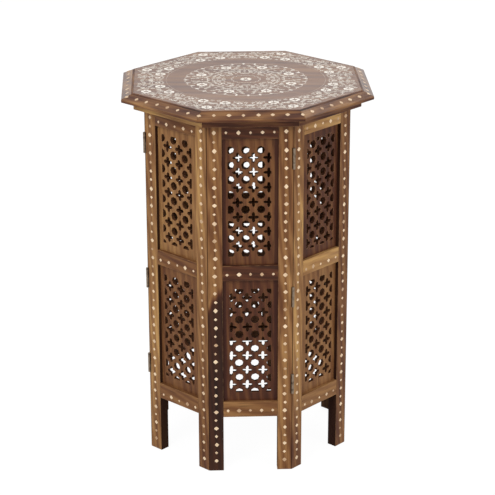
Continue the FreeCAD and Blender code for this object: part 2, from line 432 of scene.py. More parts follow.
def mark(bm, describe):
    """Gives each vertex its place in the member, with the grain along Z, and its seed, tone and heart."""
    place_layer = bm.verts.layers.float_vector["place"]
    layers = [bm.verts.layers.float[label] for label in ("seed", "tone", "heart")]
    for vert in bm.verts:
        place, *values = describe(vert.co)
        vert[place_layer] = place
        for layer, value in zip(layers, values):
            vert[layer] = value


def new_object(name, data):
    thing = bpy.data.objects.new(name, data)
    bpy.context.scene.collection.objects.link(thing)
    return thing


def piece(name, bm, material, body, replaced=(), smooth_angle=None):
    """Makes the object from its mesh and says what it rides on, its finish and what it replaces."""
    mesh = bpy.data.meshes.new(name)
    bm.normal_update()
    bm.to_mesh(mesh)
    bm.free()
    mesh.materials.append(material)
    if smooth_angle:
        mesh.shade_smooth()
        mesh.set_sharp_from_angle(angle=smooth_angle)
    thing = new_object(name, mesh)
    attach(thing, body)
    if replaced:
        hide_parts(*replaced)


def worn_bevel(bm, edges, width):
    """Rounds the edges and marks the new faces as worn."""
    made = bmesh.ops.bevel(
        bm, geom=edges, offset=width, offset_type="OFFSET", segments=2, profile=0.5,
        affect="EDGES", clamp_overlap=False,
    )
    worn = bm.faces.layers.float["worn"]
    for face in made["faces"]:
        face[worn] = 1.0


def cad_skin(node):
    """The node's own mesh as one skin with its flat faces whole."""
    bm = bmesh.new()
    bm.from_mesh(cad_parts[node].data)
    add_grain_layers(bm)
    bmesh.ops.remove_doubles(bm, verts=bm.verts, dist=2e-6)
    bmesh.ops.dissolve_limit(bm, angle_limit=math.radians(0.5), verts=bm.verts, edges=bm.edges)
    face_outward(bm)
    return bm


# How far a face may lie from where it is looked for
FACE_MARGIN = 0.05 * MM
# The widths that the arrises are rounded by, and the shortest arris of a stile or rail that is
STILE_ARRIS = 0.4 * MM
RAIL_ARRIS = 0.3 * MM
EDGING_ARRIS = 0.35 * MM
LINE_ARRIS = 0.02 * MM
LEAST_ARRIS = 9 * MM
# How dark the painted shade is on the sides of the openings, on the mitres and on the inside
OPENING_PAINTED_SHADE = 1.12
MITRE_PAINTED_SHADE = 0.85
INSIDE_PAINTED_SHADE = 0.7


def softened_member(node, panel, width, describe, material, levels=()):
    """A stile or the rails of a panel, with the arrises of their two faces taken off."""
    bm = cad_skin(node)
    back = to_panel(panel).inverted()
    edges = []
    for edge in bm.edges:
        depths = [(back @ vert.co).y for vert in edge.verts]
        on_face = max(depths) < FACE_MARGIN or min(depths) > PANEL_THICKNESS - FACE_MARGIN
        if on_face and edge.is_manifold and edge.is_convex and edge.calc_length() > LEAST_ARRIS:
            edges.append(edge)
    worn_bevel(bm, edges, width)
    paint_shade_on_unseen_faces(bm, back)
    for level in levels:
        skin = bm.verts[:] + bm.edges[:] + bm.faces[:]
        bmesh.ops.bisect_plane(bm, geom=skin, dist=1e-6, plane_co=(0, 0, level), plane_no=(0, 0, 1))
    mark(bm, lambda co: describe(back @ co))
    piece(node + "_wood", bm, material, panel + "_panel", [node])


def paint_shade_on_unseen_faces(bm, back):
    """Painted shade on the inside, the mitres and the edges beside the openings, where shade falls."""
    cut, worn = bm.faces.layers.float["cut"], bm.faces.layers.float["worn"]
    for face in bm.faces:
        middle = back @ face.calc_center_median()
        mitre = SIDE_HALF - middle.y * math.tan(HALF_SIDE)
        # How dark the painted shade is on this face
        depth = 0.0
        if abs(abs(middle.x) - OPENING_HALF) < 0.2 * MM and abs(face.normal.z) < 0.5:
            depth = OPENING_PAINTED_SHADE
        elif abs(middle.x) > mitre - 0.35 * MM:
            depth = MITRE_PAINTED_SHADE
        elif middle.y > PANEL_THICKNESS - 0.2 * MM:
            depth = INSIDE_PAINTED_SHADE
        if depth:
            face[cut], face[worn] = depth, 0.0


# Tones of each panel's members: left and right stile, top, middle and bottom rail, upper and lower board
MEMBER_TONES = {
    "front": (0.53, 0.59, 0.23, 0.19, 0.56, 0.36, 0.25),
    "front_right": (0.72, 0.46, 0.86, 0.84, 0.6, 0.3, 0.55),
    "right": (0.6, 0.55, 0.4, 0.45, 0.5, 0.45, 0.5),
    "back_right": (0.5, 0.62, 0.5, 0.3, 0.62, 0.5, 0.4),
    "back": (0.6, 0.45, 0.3, 0.5, 0.45, 0.42, 0.4),
    "back_left": (0.62, 0.5, 0.6, 0.4, 0.5, 0.5, 0.5),
    "left": (0.55, 0.68, 0.35, 0.5, 0.55, 0.55, 0.45),
    "front_left": (0.84, 0.68, 0.39, 0.52, 0.62, 0.67, 0.46),
}
# Levels between the top and the middle rail, and between the middle and the bottom rail
RAIL_PARTINGS = (0.35, 0.2)
# The front panel's left stile is heartwood below this level
FRONT_HEART_LEVEL = 0.222
# Stiles that grow paler or darker along their height: the change of tone at four levels
SHADE_LEVELS = (0.04, 0.16, 0.28, 0.4)
STILE_SHADES = {
    ("front", "right"): (-0.03, 0.04, -0.06, -0.06),
    ("front_left", "left"): (-0.31, 0.05, -0.07, -0.28),
    ("front_left", "right"): (-0.17, -0.02, 0.04, 0.08),
    ("front_right", "left"): (-0.13, 0.07, 0.12, -0.15),
    ("front_right", "right"): (-0.07, -0.08, 0.0, 0.02),
}


def shade_at(height, shades):
    """The change of tone at a height, between those at the levels below and above it."""
    for low, high, first, last in zip(SHADE_LEVELS, SHADE_LEVELS[1:], shades, shades[1:]):
        if height <= high:
            share = max(0.0, (height - low) / (high - low))
            return first + (last - first) * share
    return shades[-1]


def build_stiles_and_rails():
    for number, panel in enumerate(PANELS):
        tones = MEMBER_TONES[panel]
        for hand, side in enumerate(("left", "right")):
            heart = FRONT_HEART_LEVEL if (panel, side) == ("front", "left") else 0.0
            seed = number * 2.3 + hand * 1.1 + 0.4
            shades = STILE_SHADES.get((panel, side))

            def as_stile(at):
                return at, seed, tones[hand] + (shade_at(at.z, shades) if shades else 0.0), heart

            node = panel + "_stile_" + side
            levels = SHADE_LEVELS if shades else ()
            softened_member(node, panel, STILE_ARRIS, as_stile, STILE_WOOD, levels)

        def as_rail(at):
            rail = 2 + sum(at.z <= level for level in RAIL_PARTINGS)
            return (at.z, at.y, at.x), number * 1.7 + rail * 3.1, tones[rail], 0.0

        softened_member(panel + "_rails", panel, RAIL_ARRIS, as_rail, RAIL_WOOD)


# Pierced boards

# The pitch of each panel's upper and lower board, where one of its round holes is, and the ends of its
# field, all in millimetres
PIERCING = {
    "front": ((18.0, -5.3, 352.3, -25.8, 24.6), (18.8, 5.7, 140.2, -24.6, 24.9)),
    "front_left": ((18.7, -7.7, 350.9, -26.6, 22.0), (18.6, -7.8, 157.4, -26.6, 22.0)),
    "front_right": ((18.5, 7.0, 330.1, -21.6, 26.8), (18.6, 8.0, 158.2, -21.6, 26.8)),
    "back_right": ((17.8, -4.5, 294.8, -25.4, 25.4), (18.6, 2.8, 120.8, -25.4, 25.4)),
    "back": ((18.4, -5.6, 296.2, -25.4, 25.4), (18.4, -5.6, 124.4, -25.4, 25.4)),
    "back_left": ((19.2, -6.0, 295.3, -25.4, 25.4), (18.8, -6.7, 120.8, -25.4, 25.4)),
}
PIERCING_PLAIN = ((18.8, -9.4, 353.4, -25.4, 25.4), (18.8, 9.4, 150.2, -25.4, 25.4))
PIERCED_HEIGHTS = ((276.5, 411.2), (102.4, 235.6))
LEVELS = ("upper", "lower")
# The radius of the round holes, the span of the crosses and the breadth of their arms
HOLE_SIZES = {"front": (4.85, 13.0, 3.5), "front_left": (5.1, 13.6, 4.4), "front_right": (5.1, 13.6, 4.4)}
HOLE_SIZES_PLAIN = (4.6, 12.8, 3.4)
# Columns and rows counted from the given hole, enough to pass the ends of every field
HOLE_COLUMNS = range(-3, 4)
HOLE_ROWS = range(-9, 10)
HOLE_WANDER = 0.25
LEAST_HOLE_AREA = 7.0
# Points of a hole that are nearer than this become one, and a rim is an edge that is sharper than this
HOLE_MERGE = 0.05 * MM
RIM_ANGLE = 1.2


def round_hole(x, z, sizes):
    """A hole with eight shallow lobes, cut by hand."""
    turn = rng.uniform(-0.12, 0.12)
    size = sizes[0] * rng.uniform(0.94, 1.05)
    points = []
    for i in range(32):
        angle = i * math.tau / 32
        reach = size * (0.93 + 0.09 * abs(math.cos(4 * angle)))
        points.append((x + reach * math.cos(angle + turn), z + reach * math.sin(angle + turn)))
    return points


def cross_hole(x, z, sizes):
    """A cross whose arms swell a little and end in a blunt point."""
    tip = sizes[1] / 2 * rng.uniform(0.93, 1.04)
    arm = sizes[2] / 2 * rng.uniform(0.92, 1.06)
    turn = rng.uniform(-0.07, 0.07)
    quarter = ((arm * 0.98, arm * 0.98), (arm * 1.06, tip * 0.58), (arm * 0.74, tip * 0.84), (0, tip),
               (-arm * 0.74, tip * 0.84), (-arm * 1.06, tip * 0.58))
    points = []
    for i in range(4):
        angle = i * math.pi / 2 + turn
        c, s = math.cos(angle), math.sin(angle)
        points += [(x + px * c - pz * s, z + px * s + pz * c) for px, pz in quarter]
    return points


def clipped(points, low, high):
    """What is left of a hole inside the pierced field."""
    for axis in (0, 1):
        for limit, sign in ((low[axis], 1), (high[axis], -1)):
            kept = []
            for i, point in enumerate(points):
                last = points[i - 1]
                inside = sign * (point[axis] - limit) >= 0
                if inside != (sign * (last[axis] - limit) >= 0):
                    share = (limit - last[axis]) / (point[axis] - last[axis])
                    kept.append(tuple(a + (b - a) * share for a, b in zip(last, point)))
                if inside:
                    kept.append(point)
            points = kept
    return points


def area(points):
    return abs(sum(a[0] * b[1] - b[0] * a[1] for a, b in zip(points, points[1:] + points[:1]))) / 2


def board_holes(panel, row):
    pitch, round_x, round_z, left, right = PIERCING.get(panel, PIERCING_PLAIN)[row]
    bottom, top = PIERCED_HEIGHTS[row]
    sizes = HOLE_SIZES.get(panel, HOLE_SIZES_PLAIN)
    holes = []
    for make, shift in ((round_hole, 0), (cross_hole, pitch / 2)):
        for i in HOLE_COLUMNS:
            for k in HOLE_ROWS:
                x = round_x + shift + i * pitch + rng.uniform(-HOLE_WANDER, HOLE_WANDER)
                z = round_z + shift + k * pitch + rng.uniform(-HOLE_WANDER, HOLE_WANDER)
                hole = clipped(make(x, z, sizes), (left, bottom), (right, top))
                if len(hole) > 2 and area(hole) > LEAST_HOLE_AREA:
                    holes.append(hole)
    return holes


def pierced_board(panel, row, tone, seed):
    """A thin board with its holes sawn through and their rims eased."""
    low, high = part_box("front_" + LEVELS[row] + "_jali")
    bm = timber_skin()
    loops = [[(low.x, low.z), (high.x, low.z), (high.x, high.z), (low.x, high.z)]]
    loops += [[(x * MM, z * MM) for x, z in hole] for hole in board_holes(panel, row)]
    for loop in loops:
        verts = [bm.verts.new((x, JALI_RECESS, z)) for x, z in loop]
        for a, b in zip(verts, verts[1:] + verts[:1]):
            bm.edges.new((a, b))
    bmesh.ops.remove_doubles(bm, verts=bm.verts, dist=HOLE_MERGE)
    bmesh.ops.triangle_fill(bm, use_beauty=True, edges=bm.edges, normal=(0, -1, 0))
    made = bmesh.ops.extrude_face_region(bm, geom=bm.faces)["geom"]
    moved = [item for item in made if isinstance(item, bmesh.types.BMVert)]
    bmesh.ops.translate(bm, verts=moved, vec=(0, JALI_THICKNESS, 0))
    face_outward(bm)
    rims = [
        edge for edge in bm.edges
        if edge.is_manifold and edge.calc_face_angle() > RIM_ANGLE and abs(edge.verts[0].co.x) < OPENING_HALF
        and abs(edge.verts[0].co.y - edge.verts[1].co.y) < 0.1 * MM
    ]
    worn_bevel(bm, rims, width=0.25 * MM)
    # Painted shade on the walls of the holes and the edges of the board
    cut = bm.faces.layers.float["cut"]
    for face in bm.faces:
        if abs(face.normal.y) < 0.3:
            face[cut] = 1.0
    mark(bm, lambda co: (co, seed, tone, 0.0))
    bmesh.ops.transform(bm, matrix=to_panel(panel), verts=bm.verts)
    node = panel + "_" + LEVELS[row] + "_jali"
    material = FRONT_JALI_WOOD if panel == "front" else JALI_WOOD
    piece(node + "_fretwork", bm, material, panel + "_panel", [node])


def build_boards():
    for number, panel in enumerate(PANELS):
        tones = MEMBER_TONES[panel]
        pierced_board(panel, 0, tones[5], number * 1.9 + 0.7)
        pierced_board(panel, 1, tones[6], number * 1.3 + 8.1)


# The top

def mitred_lengths(section, width, name, node, tones, material):
    """Eight mitred lengths round the top, from the radius to the flat and height of each corner."""
    bm = timber_skin()
    for angle in PANELS.values():
        turn = facing(angle)
        ends = []
        for hand in (-1, 1):
            spots = [(hand * (r * math.tan(HALF_SIDE) - MITRE_JOINT), -r, z) for r, z in section]
            ends.append([bm.verts.new(turn @ Vector(spot)) for spot in spots])
        loft(bm, ends)
    face_outward(bm)
    worn_bevel(bm, list(bm.edges), width)

    def describe(co):
        number, along, out = side_of(co)
        # Painted shade: the lowest millimetre and the underside of each length are darker
        tone = tones[number] - (PAINTED_UNDERSIDE_SHADE if co.z < section[0][1] + 1 * MM else 0)
        return (out, co.z, along), number * 2.9 + 0.3, tone, 0.0

    mark(bm, describe)
    piece(name, bm, material, "top", [node] if node else ())


def side_of(co):
    """Which side of the octagon a point is on, how far along it and how far out."""
    degrees = math.degrees(math.atan2(co.y, co.x))
    number = round((degrees + 90) / SIDE_ANGLE) % 8
    angle = math.radians(number * SIDE_ANGLE - 90)
    out = co.x * math.cos(angle) + co.y * math.sin(angle)
    along = -co.x * math.sin(angle) + co.y * math.cos(angle)
    return number, along, out


EDGING_TONES = (0.44, 0.6, 0.4, 0.42, 0.44, 0.46, 0.52, 0.52)
UNDER_TONES = (0.5, 0.5, 0.5, 0.4, 0.5, 0.45, 0.6, 1.12)
PAINTED_SHADE_LINE_TONES = (0.4,) * 8
PAINTED_UNDERSIDE_SHADE = 0.2
MITRE_JOINT = 0.06 * MM
UNDER_FRAME_WIDTH = 33.0 * MM
# The dark line in the bevel, along the field, a strip of painted shade: its sides' distance from it, depth
# and rise at each side
LINE_START = 0.1 * MM
LINE_END = 2.6 * MM
LINE_DEPTH = 1.2 * MM
LINE_RISE = (0.05 * MM, 0.08 * MM)


def build_top():
    section = (
        (FIELD_INRADIUS, edging_low.z), (EDGING_INRADIUS, edging_low.z),
        (EDGING_INRADIUS, edging_low.z + EDGE_HEIGHT), (FIELD_INRADIUS, TOP_HEIGHT),
    )
    mitred_lengths(
        section, EDGING_ARRIS, "top_edging_wood", "top_edging", EDGING_TONES, EDGING_WOOD)
    # A dark strip of painted shade along the field's edge
    near, far = FIELD_INRADIUS + LINE_START, FIELD_INRADIUS + LINE_END
    fall = LINE_END * BEVEL_DROP / BEVEL_RUN
    section = (
        (near, TOP_HEIGHT - LINE_DEPTH), (far, TOP_HEIGHT - LINE_DEPTH),
        (far, TOP_HEIGHT - fall + LINE_RISE[1]), (near, TOP_HEIGHT + LINE_RISE[0]),
    )
    mitred_lengths(section, LINE_ARRIS, "top_painted_shade_line", None, PAINTED_SHADE_LINE_TONES, UNDER_WOOD)
    inner = FIELD_INRADIUS - UNDER_FRAME_WIDTH
    section = (
        (inner, under_low.z), (FIELD_INRADIUS, under_low.z),
        (FIELD_INRADIUS, under_high.z), (inner, under_high.z),
    )
    mitred_lengths(
        section, STILE_ARRIS, "under_frame_wood", "under_frame", UNDER_TONES, UNDER_WOOD)
    bm = timber_skin()
    corners = [polar(FIELD_INRADIUS / math.cos(HALF_SIDE), (i + 0.5) * SIDE_ANGLE) for i in range(8)]
    loft(bm, [[bm.verts.new((x, y, z)) for x, y in corners] for z in (board_low.z, board_high.z)])
    face_outward(bm)
    level_edges = [edge for edge in bm.edges if edge.verts[0].co.z == edge.verts[1].co.z]
    worn_bevel(bm, level_edges, width=0.25 * MM)
    mark(bm, lambda co: ((co.y, co.z, co.x), 2.2, 0.42, 0.0))
    piece("top_board_wood", bm, TOP_WOOD, "top", ["top_board"])


# Bone: every shape is a thin tile let into the wood and left a touch proud, with sizes in millimetres

TILE_DEPTH = 0.5
TILE_TOP_SHARE = 0.86
DOT_RISE = 0.12
INLAY_RISE = 0.1
STEM_RISE = 0.06
STEM_END_SHARE = 0.35


def bone_skin():
    bm = bmesh.new()
    bm.verts.layers.float.new("tone")
    return bm


def toned_loft(bm, rings, place, tone):
    """A solid through rings of spots, all of one tone."""
    layer = bm.verts.layers.float["tone"]
    made = [ring(bm, spots, place) for spots in rings]
    for vert in sum(made, []):
        vert[layer] = tone
    loft(bm, made)


def tile(bm, points, place, tone, rise):
    """A tile from its outline, in the plane of place, domed by a smaller top."""
    mx, my = (sum(point[i] for point in points) / len(points) for i in (0, 1))
    rings = []
    for share, height in ((1.0, -TILE_DEPTH), (1.0, 0.0), (TILE_TOP_SHARE, rise)):
        rings.append([(mx + (x - mx) * share, my + (y - my) * share, height) for x, y in points])
    toned_loft(bm, rings, place, tone)


def ribbon(bm, points, width, place, tone):
    """A thin curved strip along a line of points, narrower at its ends."""
    last = len(points) - 1
    rings = []
    for i, point in enumerate(points):
        ahead = (Vector(points[min(i + 1, last)]) - Vector(points[max(i - 1, 0)])).normalized()
        half = width / 2 * (STEM_END_SHARE if i in (0, last) else 1.0)
        across = Vector((-ahead.y, ahead.x)) * half
        left, right = Vector(point) + across, Vector(point) - across
        rings.append([
            (*left, -TILE_DEPTH), (*left, STEM_RISE), (*right, STEM_RISE), (*right, -TILE_DEPTH),
        ])
    toned_loft(bm, rings, place, tone)


def diamond(x, y, size):
    """A diamond with softened sides, as a hand-cut dot."""
    points = []
    stretch = rng.uniform(0.92, 1.08)
    for i in range(8):
        reach_x, reach_y = polar(size * (0.79 if i % 2 else 1.0), i * 45)
        points.append((x + reach_x * stretch, y + reach_y / stretch))
    return points


STILE_DOTS = 39
STILE_DOT_FIRST = 13.0
STILE_DOT_STEP = 10.94
RAIL_DOT_STEP = 13.6
RAIL_DOT_LEVELS = (428.8, 255.5, 79.9)
LARGE_DOT = 2.6
SMALL_DOT = 1.85
EDGING_DOTS = 7
EDGING_DOT = 2.65
# How much further out than the bevel's middle its dots are
EDGING_DOT_SHIFT = 0.6 * MM
# The dots of the bevel are a shade darker than the panels'
EDGING_DOT_SHARE = 0.72
# Rows that were set a little high or low: by rail, and by stile from the left
RAIL_DOT_SHIFTS = {"front_left": (-2.4, -0.5, -2.0), "front_right": (-1.1, -1.0, -1.4)}
STILE_DOT_SHIFTS = {"front": (0.0, 0.7), "front_left": (0.6, 0.7), "front_right": (-0.6, -1.2)}


def dot_tone():
    """Most dots are clean, and a few are stained."""
    chance = rng.random()
    if chance < 0.5:
        return 0.92
    return 0.68 if chance < 0.85 else 0.3


def build_panel_dots():
    """Dots in rows along every stile and rail, large and small in turn."""
    upright = Matrix(((1, 0, 0, 0), (0, 0, -1, 0), (0, 1, 0, 0), (0, 0, 0, 1)))
    for panel in PANELS:
        bm = bone_skin()
        place = to_panel(panel) @ upright
        spots = []
        for hand, shift in zip((-1, 1), STILE_DOT_SHIFTS.get(panel, (0, 0))):
            for i in range(STILE_DOTS):
                height = STILE_DOT_FIRST + i * STILE_DOT_STEP + shift
                spots.append((hand * STILE_MIDDLE / MM, height, SMALL_DOT if i % 2 else LARGE_DOT))
        for level, shift in zip(RAIL_DOT_LEVELS, RAIL_DOT_SHIFTS.get(panel, (0, 0, 0))):
            for i in range(-2, 3):
                spots.append((i * RAIL_DOT_STEP, level + shift, LARGE_DOT if i % 2 else SMALL_DOT))
        for x, z, size in spots:
            x += rng.uniform(-0.5, 0.5)
            z += rng.uniform(-0.4, 0.4)
            size *= rng.uniform(0.85, 1.1)
            tile(bm, diamond(x, z, size), place, dot_tone(), DOT_RISE)
        face_outward(bm)
        piece(panel + "_bone_dots", bm, PANEL_BONE, panel + "_panel")


def build_edging_dots():
    """Seven dots along each side of the bevel, the first of them on the mitre."""
    bm = bone_skin()
    slope = math.atan2(BEVEL_DROP, BEVEL_RUN)
    mitre_slope = math.atan(math.tan(slope) * math.cos(HALF_SIDE))
    middle = (EDGING_INRADIUS + FIELD_INRADIUS) / 2 + EDGING_DOT_SHIFT
    height = TOP_HEIGHT - (middle - FIELD_INRADIUS) * math.tan(slope)
    half = middle * math.tan(HALF_SIDE)

    def on_bevel(angle, reach, lean):
        return facing(angle) @ Matrix.Translation((0, -reach, height)) @ Matrix.Rotation(lean, 4, "X")

    for angle in PANELS.values():
        side = on_bevel(angle, middle, slope)
        mitre = on_bevel(angle - HALF_ANGLE, middle / math.cos(HALF_SIDE), mitre_slope)
        for i in range(EDGING_DOTS):
            x = (-half + i * 2 * half / EDGING_DOTS) / MM + (rng.uniform(-0.5, 0.5) if i else 0)
            size = EDGING_DOT * rng.uniform(0.85, 1.08)
            points = diamond(x, rng.uniform(-0.3, 0.3), size)
            if i == 0:
                points = diamond(0, 0, size)
            tile(bm, points, side if i else mitre, dot_tone() * EDGING_DOT_SHARE, DOT_RISE)
    face_outward(bm)
    piece("edging_bone_dots", bm, PANEL_BONE, "top")


class Inlay:
    """The arabesque of the top: flowers, leaves and stems repeated in sixteen mirrored parts."""

    def __init__(self):
        self.bm = bone_skin()
        self.place = Matrix.Translation((0, 0, TOP_HEIGHT))

    def shape(self, x, y, angle, length, width, outline, tone):
        """An outline drawn along a direction from a point."""
        c, s = math.cos(angle), math.sin(angle)
        half = width / 2
        points = [(x + u * length * c - v * half * s, y + u * length * s + v * half * c) for u, v in outline]
        tile(self.bm, points, self.place, tone, INLAY_RISE)

    def leaf(self, x, y, angle, length, width):
        self.shape(x, y, angle, length, width, LEAF_OUTLINE, rng.choice((0.85, 0.7, 0.5)))

    def flower(self, x, y, radius, petals=8, turn=0.0):
        """Broad petals round a dark eye."""
        inner = radius * EYE_SHARE
        width = radius * PETAL_BREADTH * math.tan(math.pi / petals)
        for i in range(petals):
            angle = turn + i * math.tau / petals
            near_x, near_y = x + inner * math.cos(angle), y + inner * math.sin(angle)
            tone = rng.choice((1.15, 1.0, 0.9)) - (0.3 if petals < 8 else 0)
            self.shape(near_x, near_y, angle, radius - inner, width, PETAL_OUTLINE, tone)

    def stem(self, points, width, tone=0.55):
        ribbon(self.bm, points, width, self.place, tone)

    def finish(self):
        face_outward(self.bm)
        piece("top_bone_arabesque", self.bm, TOP_BONE, "top")


LEAF_OUTLINE = ((0, 0), (0.35, -1), (1, 0), (0.35, 1))
PETAL_OUTLINE = ((0, -0.2), (0.66, -1), (0.9, -0.75), (1, 0), (0.9, 0.75), (0.66, 1), (0, 0.2))
PETAL_BREADTH = 2 * 0.72 * 0.97
EYE_SHARE = 0.34

# The ornament in millimetres from the middle of the top, and in degrees from a corner's direction
PLAIN_MIDDLE_RADIUS = 15.5
BUD_START = 66.0
BUD_DEGREES = 11.25
# How much further out each of four buds in turn starts, and a bud's length and width
BUD_SHIFTS = (0, 1, 2, 1)
BUD_SIZE = (6.2, 3.3)
RIM_RADIUS = 69.5
BORDER_INNER_RADIUS = 97.5
BORDER_OUTER_FLAT = 130.0
CORNER_FLOWERS = ((57.0, 6.6), (128.0, 6.3))
SIDE_FLOWERS = ((105.5, 7.3, 6.5), (105.5, 16.4, 3.5), (33.0, 10.0, 2.8))
MIDDLE_FLOWER_RADIUS = 6.9
# Straight leafy stems of the medallion, with a leaf pair at each step
STEM_START = 21
STEM_STEP = 6
CORNER_STEM_END = 51
SIDE_STEM_END = 63
# Fans of leaves in the border: each leaf's lean, in radians
FAN_LEANS = (-0.85, -0.42, 0, 0.42, 0.85)
LINE_RADIUS = 95.0
# Sprigs fill the ground: the distance between two, and the room to an edge of the half part and to a flower
SPRIG_TRIES = 4000
SPRIG_GAP = 6.1
SPRIG_RADIUS = 2.5
EDGE_ROOM = 0.7
FLOWER_ROOM = 1.3
MIDDLE_ROOM = 4
BORDER_REACH = 140.0
# Widths of the stems, and the length and width of their leaves
FINE_STEM = 0.5
SPRIG_LEAF = (1.7, 0.7)
STEM_LEAF = (2.7, 1.4)


def scroll(centre, radius, start, sweep, steps=8):
    """A line that curls in towards its centre."""
    points = []
    for i in range(steps + 1):
        t = i / steps
        x, y = polar(radius * (1 - 0.75 * t), start + sweep * t)
        points.append((centre[0] + x, centre[1] + y))
    return points


def bowed(first, last, bow, steps=6):
    """A stem between two points that bows to one side."""
    dx, dy = last[0] - first[0], last[1] - first[1]
    points = []
    for i in range(steps + 1):
        t = i / steps
        side = bow * math.sin(math.pi * t)
        points.append((first[0] + dx * t - dy * side, first[1] + dy * t + dx * side))
    return points


def leafy(line, length, width, every, lean=52, first=1):
    """Leaves on both sides of a line."""
    leaves = []
    for i in range(first, len(line) - 1, every):
        dx, dy = line[i + 1][0] - line[i - 1][0], line[i + 1][1] - line[i - 1][1]
        ahead = math.atan2(dy, dx)
        for hand in (1, -1):
            leaves.append((line[i][0], line[i][1], ahead + hand * math.radians(lean), length, width))
    return leaves


def in_border(x, y):
    """Whether a point of the half part lies in the border, clear of the flowers."""
    radius, degrees = math.hypot(x, y), math.degrees(math.atan2(y, x))
    flat = radius * math.cos(math.radians(HALF_ANGLE - degrees))
    return radius > BORDER_INNER_RADIUS + SPRIG_RADIUS and flat < BORDER_OUTER_FLAT - SPRIG_RADIUS


def in_medallion(x, y):
    """The same for the medallion, between its plain middle and the buds on its rim."""
    radius = math.hypot(x, y)
    return PLAIN_MIDDLE_RADIUS + MIDDLE_ROOM + SPRIG_RADIUS < radius < BUD_START - SPRIG_RADIUS


def sprig_places(inside, reach, flowers):
    """Evenly scattered places in half a part, clear of the flowers and of its two edges."""
    places = []
    for _ in range(SPRIG_TRIES):
        radius, degrees = reach * math.sqrt(rng.random()), rng.uniform(0, HALF_ANGLE)
        x, y = polar(radius, degrees)
        edge = min(y, radius * math.sin(math.radians(HALF_ANGLE - degrees)))
        if not inside(x, y) or edge < SPRIG_RADIUS + EDGE_ROOM:
            continue
        room = SPRIG_RADIUS + FLOWER_ROOM
        if any(math.dist((x, y), (fx, fy)) < size + room for fx, fy, size in flowers):
            continue
        if all(math.dist((x, y), other) > SPRIG_GAP for other in places):
            places.append((x, y))
    return places


def part_motif():
    """Stems and leaves of one half of an eighth, with the corner direction along X."""
    flowers = [(radius, 0.0, size) for radius, size in CORNER_FLOWERS]
    flowers += [(*polar(radius, degrees), size) for radius, degrees, size in SIDE_FLOWERS]
    stems, leaves = [], []
    for inside, reach in ((in_medallion, BUD_START), (in_border, BORDER_REACH)):
        places = sprig_places(inside, reach, flowers)
        for number, place in enumerate(places):
            hand = 1 if number % 2 else -1
            curl = scroll(place, SPRIG_RADIUS, rng.uniform(0, 360), hand * 400)
            stems.append((curl, FINE_STEM))
            leaves += leafy(curl, *SPRIG_LEAF, 2)
            if number:
                nearest = min(places[:number], key=lambda other: math.dist(other, place))
                link = bowed(place, nearest, 0.16 * hand)
                stems.append((link, FINE_STEM))
                leaves += leafy(link, *SPRIG_LEAF, 2, first=2)
        heads = [flower for flower in flowers if inside(flower[0], flower[1])]
        for x, y, size in heads:
            nearest = min(places, key=lambda other: math.dist(other, (x, y)))
            stems.append((bowed((x, y), nearest, 0.12), 0.55))
    return stems, leaves


def build_arabesque():
    inlay = Inlay()
    stems, leaves = part_motif()
    for eighth in range(8):
        corner, side = (eighth + 0.5) * SIDE_ANGLE, (eighth + 1) * SIDE_ANGLE
        turn = math.radians(corner)
        c, s = math.cos(turn), math.sin(turn)
        for mirror in (1, -1):

            def put(x, y):
                return x * c - mirror * y * s, x * s + mirror * y * c

            for line, thick in stems:
                inlay.stem([put(x, y) for x, y in line], thick)
            for x, y, angle, length, width in leaves:
                inlay.leaf(*put(x, y), turn + mirror * angle, length, width)
            for radius, degrees, size in SIDE_FLOWERS:
                inlay.flower(*put(*polar(radius, degrees)), size, 8 if size > 4 else 6, turn)
            scallop = bowed(polar(PLAIN_MIDDLE_RADIUS, 0), polar(PLAIN_MIDDLE_RADIUS, HALF_ANGLE), -0.45)
            inlay.stem([put(x, y) for x, y in scallop], 0.8, 0.5)
        for radius, size in CORNER_FLOWERS:
            inlay.flower(radius * c, radius * s, size, 8, turn)
        for direction, end in ((corner, CORNER_STEM_END), (side, SIDE_STEM_END)):
            line = [polar(radius, direction) for radius in range(STEM_START, end, STEM_STEP)]
            inlay.stem(line, FINE_STEM, 0.3)
            for leaf in leafy(line, *STEM_LEAF, 1, lean=48):
                inlay.leaf(*leaf)
        for i, shift in enumerate(BUD_SHIFTS):
            degrees = corner + i * BUD_DEGREES
            x, y = polar(BUD_START + shift, degrees)
            inlay.shape(x, y, math.radians(degrees), *BUD_SIZE, PETAL_OUTLINE, rng.choice((0.95, 0.75, 0.6)))
            rim = bowed(polar(RIM_RADIUS, degrees), polar(RIM_RADIUS, degrees + BUD_DEGREES), -0.3, 5)
            inlay.stem(rim, 0.7, 0.45)
        for lean in FAN_LEANS:
            for radius, direction, length in ((110, side, 9.0), (109, corner, 8.0), (122, side, 4.5)):
                x, y = polar(radius, direction)
                inlay.leaf(x, y, math.radians(direction) + lean, length * (1 - 0.25 * abs(lean)), 2.2)
    inlay.flower(0, 0, MIDDLE_FLOWER_RADIUS)
    for part in range(8):
        arc = [polar(LINE_RADIUS, (part + i / 8) * SIDE_ANGLE) for i in range(9)]
        inlay.stem(arc, 0.45, 0.12)
    inlay.finish()


# Hinges

# Sizes in millimetres; a seam's three hinges are alike
HINGE_MIDDLES = (114.5, 226.5, 397.0)
HINGE_HALF = 12.7
LEAF_THICKNESS = 1.1
LEAF_WIDTH = 7.5
LEAF_CORNER = 0.8
NECK_START = 0.5
KNUCKLE_RADIUS = 1.5
KNUCKLE_EASE = 0.25
KNUCKLE_GAP = 0.15
PIN_RADIUS = 0.8
PIN_ENDS = (0.1, 0.05)
BORE_CLEARANCE = 0.08
BARREL_CLEARANCE = 0.3
MITRE_GAP = 0.3
PIN_STAND_OFF = 0.5
SCREW_OFFSETS = (-8.5, 0, 8.5)
SCREW_SHARE = 0.55
SCREW_DEPTHS = (0.06, -0.4)
